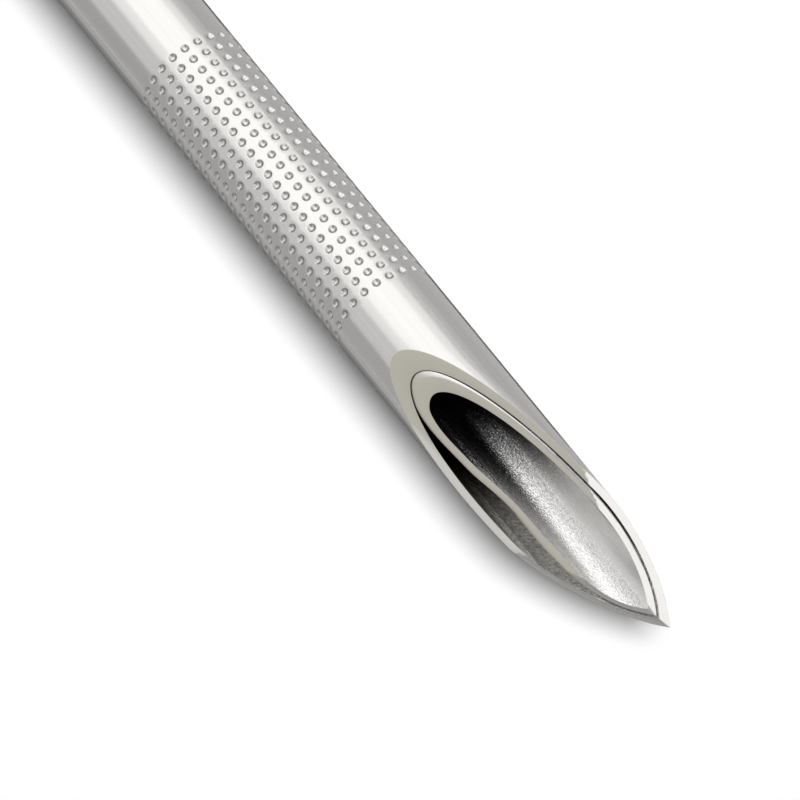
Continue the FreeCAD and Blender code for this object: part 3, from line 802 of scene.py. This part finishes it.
# Bevel marker, nut and tap: moulded in blue plastic. The marker is glued into its
# pocket, the nut turns on the spigot, and the tap turns in the stopcock's barrel.

MARKER_BLUE = (0.02, 0.105, 0.36)
marker_blue = plastic("marker_blue", MARKER_BLUE, 0.35, 0.3 * MM, 0.015 * MM)
dress(["bevel_marker", "tube_nut", "stopcock_tap"], marker_blue)


# Split sleeve and port cap: moulded in white plastic. The sleeve grips the tubing
# in the socket's mouth, and the cap's cone stands in the cone of the port.

CAP_WHITE = (0.68, 0.68, 0.665)
cap_plastic = plastic("cap_plastic", CAP_WHITE, 0.38, 0.3 * MM, 0.015 * MM)
dress(["tube_collet", "port_cap"], cap_plastic)


# Photographer's place: the camera looks down on the bevel from ahead and to one
# side through a long lens, rolled so that the point runs to the lower right.

VIEW_AZIMUTH = math.radians(34.5)
VIEW_ELEVATION = math.radians(55.57)
VIEW_ROLL = math.radians(-79.0)
VIEW_ANGLE = math.radians(2.2)
VIEW_WIDTH = 11.465 * MM
VIEW_AIM = Vector((TIP_X - 4.587 * MM, -0.167 * MM, AXIS_HEIGHT + 1.34 * MM))
VIEW_REACH = 200

toward = Vector((
    math.cos(VIEW_ELEVATION) * math.cos(VIEW_AZIMUTH),
    math.cos(VIEW_ELEVATION) * math.sin(VIEW_AZIMUTH),
    math.sin(VIEW_ELEVATION),
))
level_right = Vector((-math.sin(VIEW_AZIMUTH), math.cos(VIEW_AZIMUTH), 0))
view_right = Matrix.Rotation(VIEW_ROLL, 3, toward) @ level_right
view_up = toward.cross(view_right)

camera_data = bpy.data.cameras.new("camera")
camera_data.angle = VIEW_ANGLE
camera_data.clip_end = VIEW_REACH
camera = bpy.data.objects.new("camera", camera_data)
bpy.context.scene.collection.objects.link(camera)
stand_off = VIEW_WIDTH / (2 * math.tan(VIEW_ANGLE / 2))
facing = Matrix((view_right, view_up, toward)).transposed()
camera.matrix_world = Matrix.Translation(VIEW_AIM + toward * stand_off) @ facing.to_4x4()
bpy.context.scene.camera = camera
bpy.context.scene.view_settings.view_transform = "Standard"


# Table and room: a plain pale table, a key lamp near the camera that lets a soft,
# narrow shadow fall to the lower left, and an even white room.

FLOOR_SIZE = 8.0
FLOOR_CLOUD = (2 * MM, 2 * MM, 2 * MM)
FLOOR_PALE = (0.945, 0.945, 0.945, 1)
FLOOR_PALER = (0.95, 0.95, 0.95, 1)
FLOOR_ROUGHNESS = 0.9
KEY_STRENGTH = 3.6
KEY_SIZE = math.radians(4.3)
KEY_SHIFT_RIGHT = math.radians(1.25)
KEY_SHIFT_UP = math.radians(1.0)
ROOM_LIGHT = 0.12
MIRRORED_ROOM = 0.66


def floor_color(place):
    return tint(grain(place, FLOOR_CLOUD), FLOOR_PALE, FLOOR_PALER)


floor_mesh = bpy.data.meshes.new("floor")
half = FLOOR_SIZE / 2
floor_mesh.from_pydata(
    [(-half, -half, 0), (half, -half, 0), (half, half, 0), (-half, half, 0)], [], [(0, 1, 2, 3)]
)
floor = bpy.data.objects.new("floor", floor_mesh)
bpy.context.scene.collection.objects.link(floor)
table_white = surface("table_white", floor_color, FLOOR_ROUGHNESS, Specular_IOR_Level=0.0)
floor_mesh.materials.append(table_white)

key_data = bpy.data.lights.new("key", "SUN")
key_data.energy = KEY_STRENGTH
key_data.angle = KEY_SIZE
key = bpy.data.objects.new("key", key_data)
key_direction = toward + view_right * math.tan(KEY_SHIFT_RIGHT) + view_up * math.tan(KEY_SHIFT_UP)
key.rotation_euler = key_direction.to_track_quat("Z", "Y").to_euler()
key.visible_glossy = False
bpy.context.scene.collection.objects.link(key)

world = bpy.data.worlds.new("room")
bpy.context.scene.world = world
world.use_nodes = True
room = world.node_tree
seen = add_node(room, "ShaderNodeLightPath", {}, {}, "Is Camera Ray")
mirrored = add_node(room, "ShaderNodeLightPath", {}, {}, "Is Glossy Ray")
through = add_node(room, "ShaderNodeLightPath", {}, {}, "Is Transmission Ray")
room_strength = ROOM_LIGHT + (1 - ROOM_LIGHT) * seen + (MIRRORED_ROOM - ROOM_LIGHT) * (mirrored + through)
room.nodes["Background"].inputs["Color"].default_value = (1, 1, 1, 1)
feed(room, room.nodes["Background"].inputs["Strength"], room_strength)


# Cards: large sheets of even light that only the steel mirrors. The curved ones
# stand round the needle. Dim ones lie beside it just over the table: a painted
# reflection of the table, dimmer than it and darkest next to the needle where its
# shadow lies, which the steel mirrors in place of the table itself.

CARD_DISTANCE = 1.6
CARD_TURNS = 12
CARD_SPANS = 6
CARD_BACK = -0.75
CARD_AHEAD = -0.1
TABLE_CARD_BACK = TIP_X - 90 * MM
TABLE_CARD_AHEAD = TIP_X + 20 * MM
TABLE_CARD_HEIGHT = 0.5 * MM


def stand_card(name, places, faces, strength):
    material = bpy.data.materials.new(name)
    material.use_nodes = True
    tree = material.node_tree
    tree.nodes.remove(tree.nodes["Principled BSDF"])
    glow = add_node(tree, "ShaderNodeEmission", {}, {"Strength": strength})
    feed(tree, tree.nodes["Material Output"].inputs["Surface"], glow)
    mesh = bpy.data.meshes.new(name)
    mesh.from_pydata(places, [], faces)
    mesh.materials.append(material)
    card = bpy.data.objects.new(name, mesh)
    bpy.context.scene.collection.objects.link(card)
    card.visible_camera = False
    card.visible_diffuse = False
    card.visible_transmission = False
    card.visible_shadow = False


def curved_card(name, low_angle, high_angle, strength, back=CARD_BACK, ahead=CARD_AHEAD):
    """A card round the needle, between two angles in degrees about its axis.

    Back and ahead are its ends along the needle, as shares of its distance.
    """
    centre = Vector((TIP_X, 0, AXIS_HEIGHT))
    places = []
    for turn in range(CARD_TURNS + 1):
        angle = math.radians(low_angle + (high_angle - low_angle) * turn / CARD_TURNS)
        for span in range(CARD_SPANS + 1):
            lean = back + (ahead - back) * span / CARD_SPANS
            reach = math.sqrt(1 - lean ** 2)
            direction = Vector((lean, reach * math.cos(angle), reach * math.sin(angle)))
            places.append(centre + direction * CARD_DISTANCE)
    faces = []
    for turn in range(CARD_TURNS):
        for span in range(CARD_SPANS):
            corner = turn * (CARD_SPANS + 1) + span
            faces.append((corner, corner + 1, corner + CARD_SPANS + 2, corner + CARD_SPANS + 1))
    stand_card(name, places, faces, strength)


def table_card(name, near, far, strength):
    """A dim card just over the table, between two distances to the side of the needle; the steel mirrors it
    as painted shade of the table.
    """
    places = [
        (TABLE_CARD_BACK, near, TABLE_CARD_HEIGHT),
        (TABLE_CARD_AHEAD, near, TABLE_CARD_HEIGHT),
        (TABLE_CARD_AHEAD, far, TABLE_CARD_HEIGHT),
        (TABLE_CARD_BACK, far, TABLE_CARD_HEIGHT),
    ]
    stand_card(name, places, [(0, 1, 2, 3)], strength)


curved_card("card_low", -12, 4, 1.1)
curved_card("card_low_right", 4, 20, 1.5)
curved_card("card_right", 20, 78, 1.92)
curved_card("card_upper_right", 78, 98, 1.5)
curved_card("card_side", -10, 75, 1.8, 0.05, 0.95)
curved_card("card_top", 98, 135, 1.02, -0.8, 0.35)
curved_card("card_left", 168, 192, 0.45, -0.3, 0.5)
# Painted shade: the table as the steel mirrors it, darkest next to the needle.
table_card("card_under", 0.15 * MM, -3.4 * MM, 0.1)
table_card("card_near_left", -3.4 * MM, -10 * MM, 0.2)
table_card("card_left_table", -10 * MM, -20 * MM, 0.35)
table_card("card_far_left", -20 * MM, -400 * MM, 0.64)
table_card("card_near_right", 0.15 * MM, 1.6 * MM, 0.1)
table_card("card_right_table", 1.6 * MM, 20 * MM, 0.74)
table_card("card_far_right", 20 * MM, 45 * MM, 0.86)
